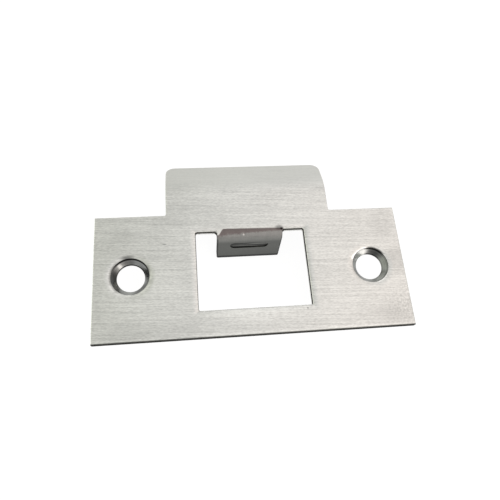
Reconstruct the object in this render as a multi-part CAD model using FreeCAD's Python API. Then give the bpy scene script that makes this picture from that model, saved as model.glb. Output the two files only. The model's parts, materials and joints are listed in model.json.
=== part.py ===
import FreeCAD, Part
import math
import os

# Door strike plate, blanked from one steel sheet: a flat face plate with a latch opening and two
# countersunk screw holes, a lip that leads the latch in, and a tang folded back from the opening.
# Frame: the origin lies midway between the screw holes on the back face, +X runs along the plate,
# +Y towards the lip and +Z out of the show face. All sizes are in millimetres and degrees.

INCH = 25.4

# Sheet
SHEET = 1.5
EDGE_ROLL = 0.2  # rounding that blanking and brushing leave on the show side
OVERLAP = 2.0  # length of a folded strip that lies inside the face plate

# Face plate
PLATE_LENGTH = 2.75 * INCH
PLATE_WIDTH = 1.125 * INCH

# Lip
LIP_WIDTH = 1.5 * INCH
LIP_REACH = 1.125 * INCH  # from the line of the screw holes to the end of the lip
LIP_FLAT = 5.2  # flat length beyond the face plate's edge
LIP_BEND_RADIUS = 10.0  # on the show side
LIP_ANGLE = 26.0
LIP_CORNER = 2.2
LIP_ROOT = 0.4  # inner corner between the lip and the face plate

# Latch opening
OPENING_LENGTH = 25.0
OPENING_LOW = -8.45
OPENING_HIGH = 9.85
OPENING_CORNER = 0.4

# Tang
TANG_WIDTH = 15.2
TANG_BEND_LINE = 10.4  # where the fold starts, a little behind the opening's edge
TANG_BEND_RADIUS = 2.3  # on the show side
TANG_ANGLE = 82.0
TANG_DEPTH = 10.0  # from the show face down to the tang's end
TANG_ROOT = 0.45  # flare of the tang where it leaves the opening's edge
TANG_CORNER = 0.4

# Plain obround press mark on the tang
MARK_LENGTH = 9.0
MARK_WIDTH = 2.4
MARK_DEPTH = 0.2
MARK_FROM_END = 5.8  # from the tang's end to the middle of the mark

# Screw holes
SCREW_SPACING = 2.125 * INCH
SCREW_BORE = 6.1
SCREW_HEAD = 8.35
COUNTERSINK_RIM = 0.25  # straight wall above the cone
COUNTERSINK_ANGLE = 90.0

TOLERANCE = 1e-4


def vector(x, y, z):
    """Point or direction in the part's frame."""
    return FreeCAD.Vector(x, y, z)


def block(x_range, y_range, z_range):
    """Box between the two ends of each range."""
    size = [high - low for low, high in (x_range, y_range, z_range)]
    return Part.makeBox(*size, vector(x_range[0], y_range[0], z_range[0]))


class Fold:
    """Strip of the sheet that leaves the face plate flat, bends back and ends straight."""

    def __init__(self, start, direction, flat, radius, angle, straight):
        self.start = start
        self.direction = direction
        self.flat = flat
        self.radius = radius
        self.angle = math.radians(angle)
        self.straight = straight

    def point(self, depth, turn, along):
        """Point at a depth below the show side, a turn round the bend and a way along the end."""
        radius = self.radius - depth
        reach = self.flat + radius * math.sin(turn) + along * math.cos(turn)
        height = SHEET - self.radius + radius * math.cos(turn) - along * math.sin(turn)
        return vector(0, self.start + self.direction * reach, height)

    def show_height(self, y):
        """Height of the show side at a given y."""
        reach = (y - self.start) * self.direction - self.flat
        bend_reach = self.radius * math.sin(self.angle)
        if reach <= 0:
            return SHEET
        if reach <= bend_reach:
            return SHEET - self.radius + math.sqrt(self.radius ** 2 - reach ** 2)
        bend_end = SHEET - self.radius * (1 - math.cos(self.angle))
        return bend_end - (reach - bend_reach) * math.tan(self.angle)

    def section(self):
        """Closed outline of the strip in the YZ plane."""
        show_start = vector(0, self.start, SHEET)
        back_start = vector(0, self.start, 0)
        show_bend = [self.point(0, share * self.angle, 0) for share in (0, 0.5, 1)]
        back_bend = [self.point(SHEET, share * self.angle, 0) for share in (1, 0.5, 0)]
        show_end = self.point(0, self.angle, self.straight)
        back_end = self.point(SHEET, self.angle, self.straight)
        return Part.Wire([
            Part.LineSegment(show_start, show_bend[0]).toShape(),
            Part.Arc(*show_bend).toShape(),
            Part.LineSegment(show_bend[2], show_end).toShape(),
            Part.LineSegment(show_end, back_end).toShape(),
            Part.LineSegment(back_end, back_bend[0]).toShape(),
            Part.Arc(*back_bend).toShape(),
            Part.LineSegment(back_bend[2], back_start).toShape(),
            Part.LineSegment(back_start, show_start).toShape(),
        ])

    def strip(self, width):
        """Solid strip of the given width, centred on x = 0."""
        section = Part.Face(self.section())
        section.translate(vector(-width / 2, 0, 0))
        return section.extrude(vector(width, 0, 0))

    def end_corner_edges(self, shape):
        """Edges through the sheet's thickness at the two corners of the strip's end."""
        middle = self.point(SHEET / 2, self.angle, self.straight)
        return [
            edge for edge in shape.Edges
            if abs(edge.Length - SHEET) < TOLERANCE
            and abs(edge.CenterOfMass.y - middle.y) < TOLERANCE
            and abs(edge.CenterOfMass.z - middle.z) < TOLERANCE
        ]

    def show_edges(self, shape):
        """Edges of the outline on the show side, without the lines where the bend starts and ends."""
        bend_lines = [self.point(0, turn, 0).y for turn in (0, self.angle)]

        def on_show_side(edge):
            first, last = edge.ParameterRange
            points = [edge.valueAt(first + share * (last - first)) for share in (0, 0.5, 1)]
            return all(abs(point.z - self.show_height(point.y)) < TOLERANCE for point in points)

        def is_bend_line(edge):
            along_x = edge.BoundBox.YLength < TOLERANCE
            return along_x and any(abs(edge.CenterOfMass.y - y) < TOLERANCE for y in bend_lines)

        return [edge for edge in shape.Edges if on_show_side(edge) and not is_bend_line(edge)]


def lip_fold():
    """Lip: leaves the face plate flat, then leans back at a shallow angle."""
    plate_edge = PLATE_WIDTH / 2
    angle = math.radians(LIP_ANGLE)
    past_bend = LIP_REACH - plate_edge - LIP_FLAT - LIP_BEND_RADIUS * math.sin(angle)
    straight = past_bend / math.cos(angle)
    return Fold(plate_edge - OVERLAP, 1, OVERLAP + LIP_FLAT, LIP_BEND_RADIUS, LIP_ANGLE, straight)


def tang_fold():
    """Tang: folded back sharply, almost square to the face plate."""
    angle = math.radians(TANG_ANGLE)
    below_bend = TANG_DEPTH - TANG_BEND_RADIUS * (1 - math.cos(angle))
    straight = below_bend / math.sin(angle)
    return Fold(TANG_BEND_LINE + OVERLAP, -1, OVERLAP, TANG_BEND_RADIUS, TANG_ANGLE, straight)


def upright_edges(shape, x, y):
    """Edges that stand straight up at plus and minus x and at y."""
    return [
        edge for edge in shape.Edges
        if abs(edge.Length - edge.BoundBox.ZLength) < TOLERANCE
        and abs(abs(edge.CenterOfMass.x) - x) < TOLERANCE
        and abs(edge.CenterOfMass.y - y) < TOLERANCE
    ]


def blank_with_lip():
    """Face plate and lip as one sheet, with the lip's corners rounded."""
    plate = block(
        (-PLATE_LENGTH / 2, PLATE_LENGTH / 2),
        (-PLATE_WIDTH / 2, PLATE_WIDTH / 2),
        (0, SHEET),
    )
    fold = lip_fold()
    lip = fold.strip(LIP_WIDTH)
    lip = lip.makeFillet(LIP_CORNER, fold.end_corner_edges(lip))
    sheet = plate.fuse(lip).removeSplitter()
    roots = upright_edges(sheet, LIP_WIDTH / 2, PLATE_WIDTH / 2)
    return sheet.makeFillet(LIP_ROOT, roots)


def cut_opening(sheet):
    """Latch opening through the face plate, with small corner radii."""
    cutter = block(
        (-OPENING_LENGTH / 2, OPENING_LENGTH / 2),
        (OPENING_LOW, OPENING_HIGH),
        (-SHEET, 2 * SHEET),
    )
    corners = upright_edges(cutter, OPENING_LENGTH / 2, OPENING_LOW)
    corners += upright_edges(cutter, OPENING_LENGTH / 2, OPENING_HIGH)
    return sheet.cut(cutter.makeFillet(OPENING_CORNER, corners))


def roll_show_edges(sheet):
    """Round the outline of the plate, the lip and the opening on the show side."""
    return sheet.makeFillet(EDGE_ROLL, lip_fold().show_edges(sheet))


def drill_screw_holes(sheet):
    """Two clearance bores, each with a countersink below a short straight rim."""
    bore = SCREW_BORE / 2
    head = SCREW_HEAD / 2
    cone_top = SHEET - COUNTERSINK_RIM
    cone_bottom = cone_top - (head - bore) / math.tan(math.radians(COUNTERSINK_ANGLE / 2))
    outline = [
        vector(0, 0, -SHEET),
        vector(bore, 0, -SHEET),
        vector(bore, 0, cone_bottom),
        vector(head, 0, cone_top),
        vector(head, 0, 2 * SHEET),
        vector(0, 0, 2 * SHEET),
        vector(0, 0, -SHEET),
    ]
    cutter = Part.Face(Part.makePolygon(outline)).revolve(vector(0, 0, 0), vector(0, 0, 1), 360)
    for x in (-SCREW_SPACING / 2, SCREW_SPACING / 2):
        sheet = sheet.cut(cutter.translated(vector(x, 0, 0)))
    return sheet


def tang_plan():
    """Outline of the tang seen from above, flared where it leaves the opening's edge."""
    half = TANG_WIDTH / 2
    flare_end = OPENING_HIGH - TANG_ROOT
    sag = TANG_ROOT * (1 - math.sqrt(0.5))
    inner = TANG_BEND_LINE + OVERLAP

    def side(sign):
        flare = [
            vector(sign * (half + TANG_ROOT), OPENING_HIGH, 0),
            vector(sign * (half + sag), OPENING_HIGH - sag, 0),
            vector(sign * half, flare_end, 0),
        ]
        return [
            Part.LineSegment(vector(sign * half, inner, 0), vector(sign * half, OPENING_HIGH, 0)),
            Part.LineSegment(vector(sign * half, OPENING_HIGH, 0), flare[0]),
            Part.Arc(*flare),
            Part.LineSegment(flare[2], vector(sign * half, 0, 0)),
        ]

    across = [
        Part.LineSegment(vector(-half, y, 0), vector(half, y, 0)) for y in (0, inner)
    ]
    edges = [curve.toShape() for curve in side(-1) + side(1) + across]
    return Part.Face(Part.Wire(Part.__sortEdges__(edges)))


def press_mark(fold):
    """Obround cutter that stands square to the tang's show side."""
    half_run = (MARK_LENGTH - MARK_WIDTH) / 2
    radius = MARK_WIDTH / 2
    run = block((-half_run, half_run), (-radius, radius), (-MARK_DEPTH, SHEET))
    ends = [
        Part.makeCylinder(radius, MARK_DEPTH + SHEET, vector(x, 0, -MARK_DEPTH))
        for x in (-half_run, half_run)
    ]
    cutter = run.fuse(ends)
    cutter.rotate(vector(0, 0, 0), vector(1, 0, 0), TANG_ANGLE)
    cutter.translate(fold.point(0, fold.angle, fold.straight - MARK_FROM_END))
    return cutter


def tang():
    """Tang folded back from the opening, with a flared root and a plain press mark."""
    fold = tang_fold()
    plan = tang_plan()
    plan.translate(vector(0, 0, -TANG_DEPTH))
    prism = plan.extrude(vector(0, 0, 2 * TANG_DEPTH))
    solid = fold.strip(TANG_WIDTH + 2 * TANG_ROOT).common(prism)
    solid = solid.makeFillet(TANG_CORNER, fold.end_corner_edges(solid))
    free_edges = [
        edge for edge in fold.show_edges(solid)
        if edge.CenterOfMass.y < OPENING_HIGH - TOLERANCE
    ]
    solid = solid.makeFillet(EDGE_ROLL, free_edges)
    return solid.cut(press_mark(fold))


def fold_tang(sheet):
    """Give the face plate its tang in place of the strip beside the opening."""
    gap = block(
        (-TANG_WIDTH / 2, TANG_WIDTH / 2),
        (OPENING_HIGH - OVERLAP, TANG_BEND_LINE),
        (-SHEET, 2 * SHEET),
    )
    return sheet.cut(gap).fuse(tang()).removeSplitter()


def strike_plate():
    """The whole plate, in the order in which it is blanked, folded and drilled."""
    sheet = blank_with_lip()
    sheet = cut_opening(sheet)
    sheet = roll_show_edges(sheet)
    sheet = fold_tang(sheet)
    return drill_screw_holes(sheet)


os.makedirs("parts", exist_ok=True)
shape = strike_plate()
if not shape.isValid() or len(shape.Solids) != 1:
    raise RuntimeError("the strike plate is not one valid solid")
shape.Solids[0].exportStep("parts/strike_plate.step")
box = shape.optimalBoundingBox(True, False)
print("volume mm3", round(shape.Volume, 1), "faces", len(shape.Faces))
print("x", round(box.XMin, 3), round(box.XMax, 3))
print("y", round(box.YMin, 3), round(box.YMax, 3))
print("z", round(box.ZMin, 3), round(box.ZMax, 3))
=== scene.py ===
"""Looks of a folded steel strike plate: its finishes, a plain stage and a camera above it.

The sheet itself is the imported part. Every facet of it gets one of five steel finishes, chosen by where
the facet lies and which way it faces. Lengths are in metres, in the part's own frame: the origin lies
midway between the screw holes on the back face, +X along the plate, +Y to the lip, +Z out of the face.
"""

import bmesh
import bpy
import json
import math
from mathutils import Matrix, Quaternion, Vector


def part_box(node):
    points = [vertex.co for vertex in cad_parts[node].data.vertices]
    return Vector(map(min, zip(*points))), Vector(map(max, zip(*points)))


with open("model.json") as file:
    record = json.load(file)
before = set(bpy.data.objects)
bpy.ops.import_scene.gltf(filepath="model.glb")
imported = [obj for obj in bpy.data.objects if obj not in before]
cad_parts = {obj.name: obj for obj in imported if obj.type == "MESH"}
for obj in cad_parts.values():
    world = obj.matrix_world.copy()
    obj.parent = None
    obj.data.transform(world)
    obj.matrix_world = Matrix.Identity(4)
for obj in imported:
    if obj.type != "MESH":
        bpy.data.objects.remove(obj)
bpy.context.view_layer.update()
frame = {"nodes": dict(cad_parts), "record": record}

bl_info = {
    "name": "Strike plate looks",
    "version": (1, 0, 0),
    "blender": (4, 5, 0),
    "location": "View3D > Sidebar > Strike plate",
    "description": "Steel finishes, stage and camera for a folded door strike plate",
    "category": "Object",
}

MM = 0.001
PLATE = "strike_plate"

# Places on the sheet that the frame gives
PLATE_LOW, PLATE_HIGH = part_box(PLATE)
SHEET = PLATE_HIGH.z
MOUNTS = {mount["name"]: mount for mount in frame["record"]["mounts"]}
SCREW_X = MOUNTS["screw_holes"]["dims"]["spacing_x_mm"] * MM / 2
BORE_RADIUS = MOUNTS["screw_holes"]["dims"]["hole_r_mm"] * MM

# Places on the sheet that the finishes need besides
HEAD_RADIUS = 4.175 * MM
OPENING_HALF_LENGTH = 12.5 * MM
OPENING_LOW = -8.45 * MM
OPENING_HIGH = 9.85 * MM
LIP_BEND_LINE = 19.49 * MM
TANG_BEND_LINE = 10.4 * MM
TANG_BEND_RADIUS = 2.3 * MM
TANG_ANGLE = math.radians(82.0)
TANG_SIDE = 7.6 * MM
TANG_ROOT = 8.1 * MM
TANG_LOW_EDGE = 6.5 * MM

# Front of the tang's straight end: which way it faces, and the line where the bend runs out into it
TANG_NORMAL = Vector((0.0, -math.sin(TANG_ANGLE), math.cos(TANG_ANGLE)))
TANG_STRAIGHT = Vector((0.0, TANG_BEND_LINE, SHEET - TANG_BEND_RADIUS)) + TANG_BEND_RADIUS * TANG_NORMAL

# Smallest distance that counts between two places
NEAR = 0.02 * MM

# Marks and patches on the sheet, pale ones with a darkness below 0: scratches and smears, painted shade
# and painted highlights in and round the countersinks, a painted glint, painted reflections of a soft
# light and broad darker and paler patches; middle, half length and half width in millimetres, turn in
# degrees, darkness
MARKS_AND_PAINTED_LIGHT = (
    # Scratches, a dot, a streak and a smear on the face
    ((-19.5, 7.2), 0.75, 0.14, 5.0, 0.6),
    ((11.2, -9.2), 0.22, 0.22, 0.0, 0.75),
    ((23.0, -12.6), 5.6, 0.16, 0.0, 0.12),
    ((-27.7, 4.5), 2.2, 0.7, 7.0, 0.55),
    # Dark smear on the left countersink, deepened as painted shade
    ((-27.4, 3.6), 2.2, 1.1, 0.0, 0.5),
    # Painted shade on the left countersink
    ((-23.3, 0.6), 0.9, 2.6, 0.0, 0.58),
    ((-24.6, -2.6), 3.6, 0.95, 40.0, 0.6),
    # Dark smear on the right countersink, deepened as painted shade
    ((28.6, 3.2), 2.6, 1.1, -28.0, 0.75),
    # Painted shade on the left countersink
    ((-30.35, 1.0), 1.1, 2.1, 0.0, 0.45),
    # Painted highlights on the countersinks
    ((-30.2, -1.8), 1.2, 1.6, -30.0, -0.6),
    ((-29.2, 2.6), 1.0, 0.7, -50.0, -1.4),
    ((25.15, 2.95), 3.3, 0.95, 30.0, -2.5),
    # Painted shade on the right countersink
    ((23.9, -1.8), 2.8, 1.0, -60.0, 0.4),
    # Painted highlight on the right countersink
    ((29.1, -2.9), 2.2, 1.0, 36.0, -0.95),
    # Darker at the right corner of the tang's fold
    ((6.8, 10.3), 1.4, 0.9, 0.0, 0.5),
    ((7.4, 9.95), 0.6, 0.5, 0.0, 0.85),
    # Painted glint on the fold
    ((-1.5, 9.0), 0.3, 0.3, 0.0, -1.2),
    # Painted reflections of a soft light, as pale patches on the face
    ((-24.0, -3.5), 13.0, 9.0, 0.0, -0.08),
    ((-1.5, -9.9), 14.0, 2.6, 0.0, -0.1),
    ((0.0, -9.0), 16.0, 1.3, 0.0, -0.1),
    # Broad darker and paler patches
    ((-17.0, -13.3), 11.0, 3.5, 0.0, 0.08),
    ((34.0, -11.5), 9.0, 6.0, 0.0, 0.12),
    ((34.0, 1.5), 5.0, 4.5, 0.0, 0.14),
    ((-4.0, 21.0), 12.0, 6.0, 0.0, -0.05),
    ((-27.5, -12.5), 7.0, 3.5, 0.0, 0.1),
    ((-29.0, 8.8), 5.0, 3.5, 0.0, 0.09),
    ((-19.0, 12.6), 8.0, 3.0, 0.0, 0.08),
    ((31.5, 10.5), 4.5, 6.5, 0.0, 0.1),
    ((28.0, -11.5), 7.0, 3.0, 0.0, 0.09),
)

# Corner where the brushing is rubbed away, and place on a countersink that is rubbed dull: middle, half
# length and half width in millimetres, turn in degrees
RUBBED_CORNER = ((34.5, -10.0), 9.5, 8.0, 0.0)
RUBBED_SEAT = ((29.1, -2.9), 2.8, 1.4, 36.0)

# Painted shade and painted highlights round the screw holes, pale ones with a darkness below 0: left hole
# (-1) or right hole (1), direction and half angle in degrees, reach in millimetres, darkness
SCREW_RIM_PAINTED_LIGHT = (
    (-1.0, 85.0, 85.0, 0.15, 0.95),
    (1.0, 66.0, 36.0, 0.5, 0.85),
    (-1.0, 180.0, 65.0, 0.6, 0.6),
    (-1.0, 310.0, 65.0, 0.7, -0.3),
    (1.0, 118.0, 50.0, 0.7, -0.25),
)

# Painted shade along the countersinks' edges, as dark lines: left hole (-1) or right hole (1), direction
# and half angle in degrees, width in millimetres, darkness
COUNTERSINK_PAINTED_SHADE = (
    (-1.0, 85.0, 85.0, 0.28, 0.95),
    (1.0, 68.0, 38.0, 0.28, 0.93),
    (1.0, 350.0, 75.0, 0.35, 0.35),
    (1.0, 195.0, 65.0, 0.35, 0.5),
)

# Dark card, pale card and two windows in the studio: direction, cosines of the outer and inner edge, level
STUDIO_CARDS = (
    ((0.92, 0.36, 0.12), 0.7, 0.97, 0.45),
    ((-0.88, 0.2, 0.43), 0.75, 0.95, 2.6),
    ((0.72, -0.6, 0.34), 0.98, 0.995, 1.55),
    ((0.85, -0.52, 0.08), 0.97, 0.99, 1.55),
)


def colour_prop(name, description, default):
    """Colour that a user may change."""
    return bpy.props.FloatVectorProperty(
        name=name, description=description, default=default, subtype="COLOR", size=3, min=0.0, max=1.0
    )


def length_prop(name, description, default):
    """Length that a user may change."""
    return bpy.props.FloatProperty(
        name=name, description=description, default=default, unit="LENGTH", min=0.0, precision=5
    )


def share_prop(name, description, default):
    """Share from nothing to all that a user may change."""
    return bpy.props.FloatProperty(
        name=name, description=description, default=default, subtype="FACTOR", min=0.0, max=1.0
    )


def place_prop(name, description, default):
    """Point, in millimetres from the origin, that a user may change."""
    place = tuple(value * MM for value in default)
    return bpy.props.FloatVectorProperty(
        name=name, description=description, default=place, subtype="TRANSLATION", unit="LENGTH", size=3
    )


class SteelSettings(bpy.types.PropertyGroup):
    """Colours and grain of the steel."""

    face_colour: colour_prop("Face", "Brushed steel of the show face", (0.66, 0.66, 0.622))
    # Cut edges: smeared steel, made darker as painted shade
    edge_colour_and_painted_shade: colour_prop("Edge", "Steel smeared by the punch at cut edges", (0.14, 0.138, 0.13))
    torn_colour: colour_prop("Torn edge", "Steel torn at the opening's foot", (0.9, 0.9, 0.87))
    # Countersinks: turned steel, made darker as painted shade
    countersink_colour_and_painted_shade: colour_prop("Countersink", "Turned steel", (0.254, 0.26, 0.247))
    # Tang: unbrushed steel, made darker as painted shade
    tang_colour_and_painted_shade: colour_prop("Tang", "Unbrushed steel of the tang", (0.108, 0.111, 0.103))
    # Painted reflections round the tang's fold: a lighter sheen, and a dark brown band where the fold
    # starts
    fold_painted_sheen: colour_prop("Fold", "Steel burnished by the folding tool", (0.25, 0.248, 0.234))
    fold_dark_painted_reflection: colour_prop("Fold tint", "Brown tint where the fold starts", (0.162, 0.139, 0.132))
    back_colour: colour_prop("Back", "Rolled steel of the back", (0.5, 0.495, 0.47))
    face_roughness: share_prop("Face roughness", "Roughness of the brushed face", 0.38)
    hairline_pitch: length_prop("Hairline pitch", "Distance between brush lines", 0.2 * MM)
    hairline_length: length_prop("Hairline length", "Length of a brush line", 10.0 * MM)
    hairline_contrast: share_prop("Hairline contrast", "How far brush lines change the colour", 0.6)
    hairline_turn: bpy.props.FloatProperty(
        name="Hairline turn", description="Turn of the brush lines from the plate's length",
        default=math.radians(-3.0), subtype="ANGLE"
    )
    edge_fall: length_prop("Edge fall", "How far the punch drew the face down at an edge", 0.16 * MM)
    edge_reach: length_prop("Edge reach", "How far from an edge the face was drawn down", 1.4 * MM)


class StageSettings(bpy.types.PropertyGroup):
    """Floor, light and camera."""

    dim_side: colour_prop("Dim side", "Studio light on the left", (0.324, 0.337, 0.285))
    middle: colour_prop("Middle", "Studio light overhead", (0.662, 0.663, 0.68))
    bright_side: colour_prop("Bright side", "Studio light on the right", (1.0, 0.919, 0.892))
    studio_level: bpy.props.FloatProperty(
        name="Studio level", description="Strength of the light all round", default=1.48, min=0.0
    )
    floor_glow: share_prop("Floor glow", "Share of the floor's white that no shadow takes away", 0.9)
    floor_size: length_prop("Floor", "Length of each side of the floor", 3.0)
    camera_place: place_prop("Camera", "Where the camera stands", (-12.45, -33.06, 102.58))
    camera_aim: place_prop("Aim", "Point on the face at the picture's middle", (-0.41, 4.93, 1.5))
    camera_roll: bpy.props.FloatProperty(
        name="Roll", description="Turn of the camera about its own line of sight",
        default=math.radians(13.82), subtype="ANGLE"
    )
    camera_lens: bpy.props.FloatProperty(
        name="Lens", description="Focal length of the camera", default=34.567, unit="CAMERA"
    )


class NodeBench:
    """Node tree of a material or world, with short calls that add nodes and return sockets."""

    def __init__(self, tree):
        self.tree = tree

    def feed(self, socket, value):
        """Links a socket to another, or sets it to a plain value."""
        if isinstance(value, bpy.types.NodeSocket):
            self.tree.links.new(value, socket)
        else:
            socket.default_value = value

    def node(self, kind, inputs=None, **settings):
        """New node with its settings and inputs."""
        made = self.tree.nodes.new("ShaderNode" + kind)
        for name, value in settings.items():
            setattr(made, name, value)
        for socket, value in (inputs or {}).items():
            self.feed(made.inputs[socket], value)
        return made

    def math(self, operation, *numbers):
        """Result of an operation on numbers."""
        return self.node("Math", dict(enumerate(numbers)), operation=operation).outputs[0]

    def product(self, first, *others):
        """Product of numbers."""
        for other in others:
            first = self.math("MULTIPLY", first, other)
        return first

    def vector(self, operation, *vectors):
        """Result of an operation on vectors."""
        return self.node("VectorMath", dict(enumerate(vectors)), operation=operation).outputs[0]

    def dot(self, first, second):
        """Dot product of two vectors."""
        return self.node("VectorMath", {0: first, 1: second}, operation="DOT_PRODUCT").outputs["Value"]

    def length(self, vector):
        """Length of a vector."""
        return self.node("VectorMath", {0: vector}, operation="LENGTH").outputs["Value"]

    def ramp(self, value, start, end, low=0.0, high=1.0):
        """Smooth change from low to high as value goes from start to end."""
        inputs = {"Value": value, "From Min": start, "From Max": end, "To Min": low, "To Max": high}
        return self.node("MapRange", inputs, interpolation_type="SMOOTHSTEP").outputs[0]

    def blend(self, share, first, second):
        """Colour that goes from the first to the second as share goes from 0 to 1."""
        mixer = self.node("Mix", {0: share}, data_type="RGBA")
        for socket, colour in ((6, first), (7, second)):
            self.feed(mixer.inputs[socket], colour)
        return mixer.outputs[2]

    def scaled(self, colour, factor):
        """Colour times a number."""
        return self.node("VectorMath", {0: colour, "Scale": factor}, operation="SCALE").outputs[0]


class Finish(NodeBench):
    """Steel material whose nodes read the place on the sheet."""

    def __init__(self, name, roughness, anisotropy=0.0):
        self.material = bpy.data.materials.new(name)
        self.material.use_nodes = True
        super().__init__(self.material.node_tree)
        self.roughness = roughness
        self.shader = self.tree.nodes["Principled BSDF"]
        for socket, value in (("Metallic", 1.0), ("Roughness", roughness), ("Anisotropic", anisotropy)):
            self.shader.inputs[socket].default_value = value
        self.place = self.node("TexCoord").outputs["Object"]
        self.x, self.y, self.z = self.node("SeparateXYZ", {0: self.place}).outputs

    def paint(self, **sockets):
        """Feeds the shader and returns the finished material."""
        for name, value in sockets.items():
            self.feed(self.shader.inputs[name.replace("_", " ")], value)
        return self.material

    def across(self):
        """Tangent across the plate, for steel with lines along it."""
        return self.node("CombineXYZ", {1: 1.0}).outputs[0]

    def grain(self, size, detail=2.0, roughness=0.5, shift=0.0, place=None):
        """Noise from 0 to 1 whose spots have the given length along each axis; shifts set layers apart."""
        stretch = tuple(1.0 / length for length in size)
        inputs = {0: place or self.place, 1: stretch, 2: (shift,) * 3}
        moved = self.node("VectorMath", inputs, operation="MULTIPLY_ADD").outputs[0]
        inputs = {"Vector": moved, "Scale": 1.0, "Detail": detail, "Roughness": roughness}
        return self.node("TexNoise", inputs).outputs[0]

    def uneven(self, *layers):
        """Number near 1 that follows layers of noise, each with its weight."""
        total = 1.0
        for noise, weight in layers:
            centred = self.math("SUBTRACT", noise, 0.5)
            total = self.math("MULTIPLY_ADD", centred, weight, total)
        return total

    def uneven_roughness(self, noise, spread):
        """Roughness that follows a noise about the finish's own."""
        return self.math("MULTIPLY_ADD", noise, spread, self.roughness - spread / 2)

    def darkened(self, tone, mask, darkness):
        """Tone made darker where a mask is 1, or paler where the darkness is below 0."""
        return self.product(tone, self.math("MULTIPLY_ADD", mask, -darkness, 1.0))

    def spot(self, middle, half_length, half_width, turn):
        """Mask of a soft oval on the face, 1 in its middle."""
        edge, core = 1.0, 0.2
        inputs = {
            "Vector": self.place,
            "Location": (middle[0] * MM, middle[1] * MM, 0.0),
            "Rotation": (0.0, 0.0, math.radians(turn)),
            "Scale": (half_length * MM, half_width * MM, 1.0),
        }
        local = self.node("Mapping", inputs, vector_type="TEXTURE").outputs[0]
        return self.ramp(self.length(local), edge, core)

    def with_marks_and_painted_light(self, tone):
        """Tone with the marks and patches put on it, painted highlights and painted shade among them."""
        for middle, half_length, half_width, turn, darkness in MARKS_AND_PAINTED_LIGHT:
            mark = self.spot(middle, half_length, half_width, turn)
            tone = self.darkened(tone, mark, darkness)
        return tone

    def below_face(self):
        """Depth below the show face."""
        return self.math("SUBTRACT", SHEET, self.z)

    def screw_distance(self):
        """Distance from the axis of the nearer screw hole."""
        along = self.math("SUBTRACT", self.math("ABSOLUTE", self.x), SCREW_X)
        return self.length(self.node("CombineXYZ", {0: along, 1: self.y}).outputs[0])

    def screw_side(self, hole, direction, half_angle):
        """Mask of one side of a screw hole, and the distance from that hole's axis."""
        along = self.math("SUBTRACT", self.x, hole * SCREW_X)
        radius = self.node("CombineXYZ", {0: along, 1: self.y}).outputs[0]
        turn, half = math.radians(direction), math.radians(half_angle)
        towards = (math.cos(turn), math.sin(turn), 0.0)
        facing = self.dot(self.vector("NORMALIZE", radius), towards)
        return self.ramp(facing, math.cos(half), math.cos(half / 2)), self.length(radius)

    def opening_distance(self):
        """Distance outside the latch opening, below 0 inside it."""
        along = self.math("SUBTRACT", self.math("ABSOLUTE", self.x), OPENING_HALF_LENGTH)
        middle, half = (OPENING_HIGH + OPENING_LOW) / 2, (OPENING_HIGH - OPENING_LOW) / 2
        from_middle = self.math("ABSOLUTE", self.math("SUBTRACT", self.y, middle))
        return self.math("MAXIMUM", along, self.math("SUBTRACT", from_middle, half))

    def bump(self, height, under=None):
        """Normal of the surface when raised by a height in metres."""
        inputs = {"Height": height, "Distance": 1.0, "Strength": 1.0}
        if under is not None:
            inputs["Normal"] = under
        return self.node("Bump", inputs).outputs[0]


def opaque(colour):
    """Colour with the fourth number that colour sockets hold."""
    return (*colour, 1.0)


def brush_layers(steel, settings):
    """Layers of brushing along the plate: hairlines, short ticks and broad streaks."""
    run, pitch = settings.hairline_length, settings.hairline_pitch
    tick_run, tick_pitch = 0.065 * run, 0.8 * pitch
    streak_run, streak_pitch = 3.0 * run, 2.5 * pitch
    turned = {"Vector": steel.place, "Rotation": (0.0, 0.0, -settings.hairline_turn)}
    along = steel.node("Mapping", turned).outputs[0]
    hairlines = steel.grain((run, pitch, pitch), roughness=0.6, place=along)
    ticks = steel.grain((tick_run, tick_pitch, tick_pitch), detail=1.0, shift=5.3, place=along)
    streaks = steel.grain((streak_run, streak_pitch, streak_pitch), shift=3.1, place=along)
    return hairlines, ticks, streaks


def brushed_tone(steel, settings, layers):
    """Tone of the brushing: softer on the lip, rubbed to a speckle at one corner, and a little patchy."""
    hairlines, ticks, streaks = layers
    lip_reach, lip_softness, rubbed_softness = 4.0 * MM, 0.68, 0.5
    streak_share, patch_contrast, speckle_contrast = 0.3, 0.08, 0.9
    patch_size, speckle_size = (9.0 * MM, 6.0 * MM, 6.0 * MM), (0.45 * MM,) * 3
    on_lip = steel.ramp(steel.y, LIP_BEND_LINE, LIP_BEND_LINE + lip_reach)
    rubbed = steel.spot(*RUBBED_CORNER)
    strength = steel.darkened(settings.hairline_contrast, on_lip, lip_softness)
    strength = steel.darkened(strength, rubbed, rubbed_softness)
    return steel.uneven(
        (hairlines, strength),
        (ticks, strength),
        (streaks, steel.product(strength, streak_share)),
        (steel.grain(patch_size, shift=7.7), patch_contrast),
        (steel.grain(speckle_size, shift=1.7), steel.product(rubbed, speckle_contrast)),
    )


def paint_light_on_rolled_edges(steel, tone):
    """Tone with painted highlights where the face rolls sideways and painted shade at inner edges on the
    left.
    """
    first_tilt, full_tilt = 0.15, 0.55
    paler, left_loss = 0.3, 0.8
    sideways = steel.node("SeparateXYZ", {0: steel.node("NewGeometry").outputs["Normal"]}).outputs[0]
    rolled = steel.ramp(steel.math("ABSOLUTE", sideways), first_tilt, full_tilt)
    faces_right = steel.math("GREATER_THAN", sideways, 0.0)
    inner_left = steel.product(faces_right, steel.math("LESS_THAN", steel.x, 0.0))
    gain = steel.math("MULTIPLY_ADD", inner_left, -left_loss, paler)
    return steel.product(tone, steel.math("MULTIPLY_ADD", rolled, gain, 1.0))


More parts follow.
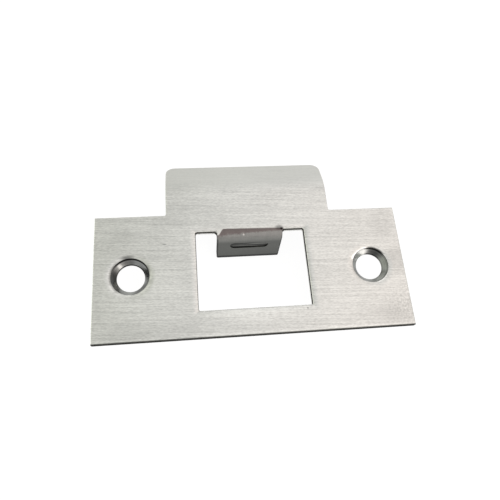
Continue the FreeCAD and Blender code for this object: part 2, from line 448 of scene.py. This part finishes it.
def paint_light_on_lower_edge(steel, tone):
    """Tone with painted shade as a dark line on the plate's lower edge and a painted highlight beside it.
    """
    line_start, line_end, line_level = 0.1 * MM, 0.3 * MM, 0.12
    pale_start, pale_end, pale_level = 0.4 * MM, 0.9 * MM, 1.12
    from_edge = steel.math("SUBTRACT", steel.y, PLATE_LOW.y)
    pale = steel.ramp(from_edge, pale_end, pale_start, 1.0, pale_level)
    dark = steel.ramp(from_edge, line_start, line_end, line_level, 1.0)
    return steel.product(tone, pale, dark)


def paint_light_round_screw_rims(steel, tone):
    """Tone with the painted shade and painted highlights round the screw holes."""
    for hole, direction, half_angle, reach, darkness in SCREW_RIM_PAINTED_LIGHT:
        side, distance = steel.screw_side(hole, direction, half_angle)
        rim = steel.ramp(distance, HEAD_RADIUS + reach * MM, HEAD_RADIUS)
        tone = steel.darkened(tone, steel.product(side, rim), darkness)
    return tone


def drawn_down(steel, settings):
    """Normal of the face, which the punch drew down towards the opening and the countersinks."""
    from_screw = steel.math("SUBTRACT", steel.screw_distance(), HEAD_RADIUS)
    from_edge = steel.math("MINIMUM", steel.opening_distance(), from_screw)
    inputs = {"Value": from_edge, "From Max": settings.edge_reach, "To Min": 1.0, "To Max": 0.0}
    share = steel.node("MapRange", inputs).outputs[0]
    return steel.bump(steel.product(share, share, -settings.edge_fall))


def brushed_face(settings):
    """Show face: brushed along the plate, more softly on the bent lip, and drawn down at punched edges."""
    steel = Finish("brushed_face", roughness=settings.face_roughness, anisotropy=0.5)
    groove_depth, groove_roughness = 0.004 * MM, 0.12
    layers = brush_layers(steel, settings)
    hairlines = layers[0]
    tone = steel.with_marks_and_painted_light(brushed_tone(steel, settings, layers))
    for shade in (paint_light_on_rolled_edges, paint_light_on_lower_edge, paint_light_round_screw_rims):
        tone = shade(steel, tone)
    grooves = steel.product(hairlines, groove_depth)
    return steel.paint(
        Base_Color=steel.scaled(tuple(settings.face_colour), tone),
        Roughness=steel.uneven_roughness(hairlines, groove_roughness),
        Normal=steel.bump(grooves, drawn_down(steel, settings)),
        Tangent=steel.across(),
    )


def torn_foot(steel):
    """Mask of the torn steel at the foot of the opening's walls, away from the tang."""
    foot_top, foot_full = 0.42 * SHEET, 0.27 * SHEET
    wall_reach, wall_full = 0.6 * MM, 0.3 * MM
    low = steel.ramp(steel.z, foot_top, foot_full)
    above_back = steel.ramp(steel.z, -2.0 * NEAR, 0.0)
    at_opening = steel.ramp(steel.opening_distance(), wall_reach, wall_full)
    beside_tang = steel.math("GREATER_THAN", steel.math("ABSOLUTE", steel.x), TANG_ROOT)
    before_tang = steel.math("LESS_THAN", steel.y, TANG_LOW_EDGE)
    return steel.product(low, above_back, at_opening, steel.math("MAXIMUM", beside_tang, before_tang))


def sheared_edge(settings):
    """Cut edges: a punch-smeared band darkened as painted shade, with paler torn steel at the opening's
    foot.
    """
    steel = Finish("sheared_edge", roughness=0.35)
    grazing_tint = (0.1, 0.1, 0.1)
    tear_size, tear_contrast, tear_depth = (0.16 * MM, 0.16 * MM, 1.2 * MM), 0.9, 0.02 * MM
    pit_size, pit_contrast, pit_depth = (0.12 * MM,) * 3, 0.5, 0.01 * MM
    torn_roughness = 0.6
    steel.shader.inputs["Specular Tint"].default_value = opaque(grazing_tint)
    tears = steel.grain(tear_size, detail=3.0, roughness=0.6)
    pits = steel.grain(pit_size, shift=2.3)
    tone = steel.uneven((tears, tear_contrast), (pits, pit_contrast))
    foot = torn_foot(steel)
    colour = steel.blend(foot, opaque(settings.edge_colour_and_painted_shade), opaque(settings.torn_colour))
    relief = steel.math("MULTIPLY_ADD", tears, tear_depth, steel.product(pits, pit_depth))
    return steel.paint(
        Base_Color=steel.scaled(colour, tone),
        Roughness=steel.ramp(foot, 0.0, 1.0, steel.roughness, torn_roughness),
        Normal=steel.bump(relief),
    )


def paint_shade_on_countersink_edges(steel, tone):
    """Tone with painted shade as dark lines along the outer and inner edges of the countersinks."""
    core_share = 0.4
    inner_start, inner_full = BORE_RADIUS + 0.25 * MM, BORE_RADIUS + 0.1 * MM
    far_off = 2.0 * HEAD_RADIUS
    for hole, direction, half_angle, width, darkness in COUNTERSINK_PAINTED_SHADE:
        side, radius = steel.screw_side(hole, direction, half_angle)
        outer = steel.ramp(radius, HEAD_RADIUS - width * MM, HEAD_RADIUS - core_share * width * MM)
        inner = steel.ramp(radius, inner_start, inner_full)
        at_hole = steel.math("LESS_THAN", radius, far_off)
        line = steel.product(side, steel.math("MAXIMUM", outer, inner), at_hole)
        tone = steel.darkened(tone, line, darkness)
    return tone


def turned_countersink(settings):
    """Countersinks: shiny, with fine rings that the cutter left, painted shade and painted highlights."""
    steel = Finish("turned_countersink", roughness=0.15)
    ring_pitch, ring_contrast, ring_depth, ring_roughness = 0.22 * MM, 1.5, 0.01 * MM, 0.1
    smear_size, smear_contrast = 1.5 * MM, 0.5
    rubbed_roughness = 0.5
    outwards = steel.node("CombineXYZ", {0: steel.screw_distance()}).outputs[0]
    rings = steel.grain((ring_pitch,) * 3, detail=3.0, place=outwards)
    smears = steel.grain((smear_size,) * 3, shift=1.9)
    tone = steel.uneven((rings, ring_contrast), (smears, smear_contrast))
    tone = steel.with_marks_and_painted_light(paint_shade_on_countersink_edges(steel, tone))
    rough = steel.uneven_roughness(rings, ring_roughness)
    return steel.paint(
        Base_Color=steel.scaled(tuple(settings.countersink_colour_and_painted_shade), tone),
        Roughness=steel.math("MULTIPLY_ADD", steel.spot(*RUBBED_SEAT), rubbed_roughness, rough),
        Normal=steel.bump(steel.product(rings, ring_depth)),
    )


def fold_colours(steel, settings, clouds, specks):
    """Colour down the tang: the face's own, then a painted dark reflection, a painted sheen and painted
    shade.
    """
    fold_slant, fold_start, fold_full = 0.02, -0.05 * MM, 0.25 * MM
    corner_start, corner_full, corner_reach = -6.0 * MM, -7.4 * MM, 1.4 * MM
    tint_scale, tint_slant = 1.617, 0.123 / MM
    cloud_reach, speck_reach = 0.3 * MM, 0.6 * MM
    tint_full, tint_end = 0.7 * MM, 1.1 * MM
    dull_start, dull_full = 0.9 * MM, 3.3 * MM
    past_bend = steel.math("SUBTRACT", TANG_BEND_LINE, steel.y)
    past_bend = steel.math("MULTIPLY_ADD", steel.x, -fold_slant, past_bend)
    left_corner = steel.ramp(steel.x, corner_start, corner_full)
    past_bend = steel.math("MULTIPLY_ADD", left_corner, -corner_reach, past_bend)
    below = steel.below_face()
    # The painted dark reflection reaches deeper on the left
    tint_depth = steel.product(below, steel.math("MULTIPLY_ADD", steel.x, tint_slant, tint_scale))
    for noise, reach in ((clouds, cloud_reach), (specks, speck_reach)):
        tint_depth = steel.math("MULTIPLY_ADD", noise, reach, tint_depth)
    # Shares of the painted sheen over the painted dark band, and of the tang's colour with its painted
    # shade
    burnished = steel.ramp(tint_depth, tint_full, tint_end)
    dull = steel.ramp(below, dull_start, dull_full)
    started = steel.ramp(past_bend, fold_start, fold_full)
    colour = steel.blend(burnished, opaque(settings.fold_dark_painted_reflection), opaque(settings.fold_painted_sheen))
    colour = steel.blend(dull, colour, opaque(settings.tang_colour_and_painted_shade))
    return steel.blend(started, opaque(settings.face_colour), colour)


def shade_tang_end(steel, tone):
    """Tone that darkens down the tang, with a dark line at its end."""
    fall_reach, end_level = 6.0 * MM, 0.8
    line_start, line_end, line_level = 0.8 * MM, 1.6 * MM, 0.05
    above_end = steel.math("SUBTRACT", steel.z, PLATE_LOW.z)
    fall = steel.ramp(above_end, 0.0, fall_reach, end_level, 1.0)
    line = steel.ramp(above_end, line_start, line_end, line_level, 1.0)
    return steel.product(tone, fall, line)


def shade_tang_sides(steel, tone):
    """Tone with a dark line along each side of the tang, below its fold."""
    fold_start, fold_end = 0.8 * MM, 1.6 * MM
    line_start, line_full, darkness = TANG_SIDE - 0.4 * MM, TANG_SIDE - 0.15 * MM, 0.65
    below_fold = steel.ramp(steel.below_face(), fold_start, fold_end)
    line = steel.ramp(steel.math("ABSOLUTE", steel.x), line_start, line_full)
    return steel.darkened(tone, steel.product(below_fold, line), darkness)


def shade_press_mark(steel, tone):
    """Tone with painted shade on the floor of the press mark, broken by paler lengthwise scuffs."""
    sunk_start, sunk_full, bend_margin = -0.05 * MM, -0.15 * MM, 1.0 * MM
    scuff_size, scuff_start, scuff_full = (9.0 * MM, 0.3 * MM, 0.3 * MM), 0.5, 0.68
    # The lower level is painted shade in the press mark; the higher one gives the paler scuffs
    painted_shade_level, scuff_level = 0.25, 1.6
    height = steel.dot(steel.vector("SUBTRACT", steel.place, TANG_STRAIGHT), TANG_NORMAL)
    below_bend = steel.math("LESS_THAN", steel.z, TANG_STRAIGHT.z - bend_margin)
    pressed = steel.product(steel.ramp(height, sunk_start, sunk_full), below_bend)
    scuffs = steel.grain(scuff_size, shift=9.1)
    scuffs = steel.ramp(scuffs, scuff_start, scuff_full, painted_shade_level, scuff_level)
    return steel.product(tone, steel.node("Mix", {0: pressed, 2: 1.0, 3: scuffs}).outputs[0])


def folded_tang(settings):
    """Tang: never brushed, with painted reflections round the fold and painted shade towards its end."""
    steel = Finish("folded_tang", roughness=0.36)
    drag_size, drag_contrast, drag_depth = (0.25 * MM, 6.0 * MM, 6.0 * MM), 0.18, 0.004 * MM
    cloud_size, cloud_contrast, cloud_roughness = (1.6 * MM, 1.2 * MM, 1.2 * MM), 0.25, 0.12
    speck_size, speck_contrast = (0.35 * MM, 0.25 * MM, 0.25 * MM), 0.3
    drags = steel.grain(drag_size, detail=3.0, roughness=0.6)
    clouds = steel.grain(cloud_size, shift=4.2)
    specks = steel.grain(speck_size, detail=3.0, shift=6.1)
    tone = steel.uneven((drags, drag_contrast), (clouds, cloud_contrast), (specks, speck_contrast))
    for shade in (shade_tang_end, shade_tang_sides, shade_press_mark):
        tone = shade(steel, tone)
    return steel.paint(
        Base_Color=steel.scaled(fold_colours(steel, settings, clouds, specks), steel.with_marks_and_painted_light(tone)),
        Roughness=steel.uneven_roughness(clouds, cloud_roughness),
        Normal=steel.bump(steel.product(drags, drag_depth)),
    )


def rolled_back(settings):
    """Back of the sheet, as it left the rolling mill: dull, with faint lines along the plate."""
    steel = Finish("rolled_back", roughness=0.46, anisotropy=0.3)
    line_size, line_contrast, line_depth = (20.0 * MM, 0.35 * MM, 0.35 * MM), 0.12, 0.004 * MM
    stain_size, stain_contrast, stain_roughness = (7.0 * MM, 5.0 * MM, 5.0 * MM), 0.35, 0.2
    lines = steel.grain(line_size, detail=3.0, roughness=0.6, shift=8.8)
    stains = steel.grain(stain_size, detail=3.0, shift=6.4)
    tone = steel.uneven((lines, line_contrast), (stains, stain_contrast))
    return steel.paint(
        Base_Color=steel.scaled(tuple(settings.back_colour), tone),
        Roughness=steel.uneven_roughness(stains, stain_roughness),
        Normal=steel.bump(steel.product(lines, line_depth)),
        Tangent=steel.across(),
    )


FINISHES = (brushed_face, sheared_edge, turned_countersink, folded_tang, rolled_back)


def finish_of(middle, normal):
    """Finish of a facet of the sheet, from where it lies and which way it faces."""
    flat_facet, back_facet, upright_facet, wall_facet = 0.9, -0.7, 0.5, 0.1
    tang_end = PLATE_LOW.z + 0.2 * MM
    from_screw = math.hypot(abs(middle.x) - SCREW_X, middle.y)
    if from_screw < HEAD_RADIUS + NEAR and abs(normal.z) < flat_facet:
        return turned_countersink
    on_tang = abs(middle.x) < TANG_ROOT and TANG_LOW_EDGE < middle.y < TANG_BEND_LINE
    if on_tang:
        facing = normal.z - normal.y
        if middle.z < tang_end or abs(facing) < upright_facet or abs(normal.z) < wall_facet:
            return sheared_edge
        return folded_tang if facing > 0 else rolled_back
    if normal.z > upright_facet:
        return brushed_face
    return rolled_back if normal.z < back_facet else sheared_edge


class STRIKE_PLATE_OT_finish_sheet(bpy.types.Operator):
    """Gives each facet of the folded sheet its steel finish"""

    bl_idname = "strike_plate.finish_sheet"
    bl_label = "Finish the sheet"

    def execute(self, context):
        settings = context.scene.strike_plate_steel
        mesh = frame["nodes"][PLATE].data
        mesh.materials.clear()
        for finish in FINISHES:
            mesh.materials.append(finish(settings))
        slots = {finish: index for index, finish in enumerate(FINISHES)}
        for facet in mesh.polygons:
            facet.material_index = slots[finish_of(facet.center, facet.normal)]
        return {"FINISHED"}


def white_floor(settings):
    """Floor material: pale paint that shows as white, with a veil over its glow that keeps the shadow."""
    paint_grey, veil_gain = 0.8, 1.8
    material = bpy.data.materials.new("floor_paint")
    material.use_nodes = True
    bench = NodeBench(material.node_tree)
    bench.tree.nodes.clear()
    path = bench.node("LightPath").outputs
    mirrored = bench.math("MAXIMUM", path["Is Glossy Ray"], path["Is Transmission Ray"])
    seen = bench.math("MAXIMUM", path["Is Camera Ray"], mirrored)
    veil_grey = veil_gain * (1.0 - settings.floor_glow)
    paint = bench.node("BsdfDiffuse", {"Color": opaque((paint_grey,) * 3)})
    veil = bench.node("BsdfDiffuse", {"Color": opaque((veil_grey,) * 3)})
    glow = bench.node("Emission", {"Strength": settings.floor_glow})
    white = bench.node("AddShader", {0: veil.outputs[0], 1: glow.outputs[0]})
    surface = bench.node("MixShader", {0: seen, 1: paint.outputs[0], 2: white.outputs[0]})
    bench.node("OutputMaterial", {"Surface": surface.outputs[0]})
    return material


def lay_floor(settings):
    """Flat floor just under the tang's end."""
    mesh = bpy.data.meshes.new("floor")
    shape = bmesh.new()
    bmesh.ops.create_grid(shape, x_segments=1, y_segments=1, size=settings.floor_size / 2)
    shape.to_mesh(mesh)
    shape.free()
    mesh.materials.append(white_floor(settings))
    floor = bpy.data.objects.new("floor", mesh)
    floor.location.z = PLATE_LOW.z - NEAR
    bpy.context.scene.collection.objects.link(floor)


def light_studio(settings):
    """Soft light from all round, brighter and warmer on the right, with cards and windows in it."""
    middle_share, front_share = 0.5, 0.17
    world = bpy.data.worlds.new("studio")
    world.use_nodes = True
    bench = NodeBench(world.node_tree)
    bench.tree.nodes.clear()
    direction = bench.node("TexCoord").outputs["Generated"]
    x, y, z = bench.node("SeparateXYZ", {0: direction}).outputs
    share = bench.math("MULTIPLY_ADD", x, z, middle_share)
    share = bench.math("MULTIPLY_ADD", y, -front_share, share)
    sides = bench.node("ValToRGB", {0: share})
    stops = sides.color_ramp.elements
    stops.new(middle_share)
    for stop, side in zip(stops, (settings.dim_side, settings.middle, settings.bright_side)):
        stop.color = opaque(side)
    level = settings.studio_level
    for towards, outer, inner, card_level in STUDIO_CARDS:
        card = bench.ramp(bench.dot(direction, towards), outer, inner)
        level = bench.node("Mix", {0: card, 2: level, 3: card_level}).outputs[0]
    background = bench.node("Background", {"Color": sides.outputs[0], "Strength": level})
    bench.node("OutputWorld", {"Surface": background.outputs[0]})
    bpy.context.scene.world = world


def place_camera(settings):
    """Camera that looks down on the plate from the side of its lower edge."""
    camera = bpy.data.objects.new("camera", bpy.data.cameras.new("camera"))
    camera.data.lens = settings.camera_lens
    camera.data.clip_start = MM
    place = Vector(settings.camera_place)
    level = (Vector(settings.camera_aim) - place).to_track_quat("-Z", "Y")
    camera.location = place
    camera.rotation_mode = "QUATERNION"
    camera.rotation_quaternion = level @ Quaternion((0.0, 0.0, 1.0), settings.camera_roll)
    bpy.context.scene.collection.objects.link(camera)
    bpy.context.scene.camera = camera


class STRIKE_PLATE_OT_set_stage(bpy.types.Operator):
    """Lays the floor, lights the studio and places the camera"""

    bl_idname = "strike_plate.set_stage"
    bl_label = "Set the stage"

    def execute(self, context):
        settings = context.scene.strike_plate_stage
        lay_floor(settings)
        light_studio(settings)
        place_camera(settings)
        context.scene.view_settings.view_transform = "Standard"
        return {"FINISHED"}


class STRIKE_PLATE_PT_looks(bpy.types.Panel):
    """Settings and steps of the strike plate's looks"""

    bl_idname = "STRIKE_PLATE_PT_looks"
    bl_label = "Strike plate"
    bl_space_type = "VIEW_3D"
    bl_region_type = "UI"
    bl_category = "Strike plate"

    def draw(self, context):
        steps = (
            (context.scene.strike_plate_steel, STRIKE_PLATE_OT_finish_sheet),
            (context.scene.strike_plate_stage, STRIKE_PLATE_OT_set_stage),
        )
        for settings, operator in steps:
            column = self.layout.column()
            for name in settings.__annotations__:
                column.prop(settings, name)
            column.operator(operator.bl_idname)


CLASSES = (
    SteelSettings,
    StageSettings,
    STRIKE_PLATE_OT_finish_sheet,
    STRIKE_PLATE_OT_set_stage,
    STRIKE_PLATE_PT_looks,
)


def register():
    """Registers the classes and adds the settings to the scene."""
    for made in CLASSES:
        bpy.utils.register_class(made)
    bpy.types.Scene.strike_plate_steel = bpy.props.PointerProperty(type=SteelSettings)
    bpy.types.Scene.strike_plate_stage = bpy.props.PointerProperty(type=StageSettings)


def unregister():
    """Takes the settings and the classes away again."""
    del bpy.types.Scene.strike_plate_stage
    del bpy.types.Scene.strike_plate_steel
    for made in reversed(CLASSES):
        bpy.utils.unregister_class(made)


def main():
    """Builds the looks in order."""
    register()
    bpy.ops.strike_plate.finish_sheet()
    bpy.ops.strike_plate.set_stage()


if __name__ == "__main__":
    main()
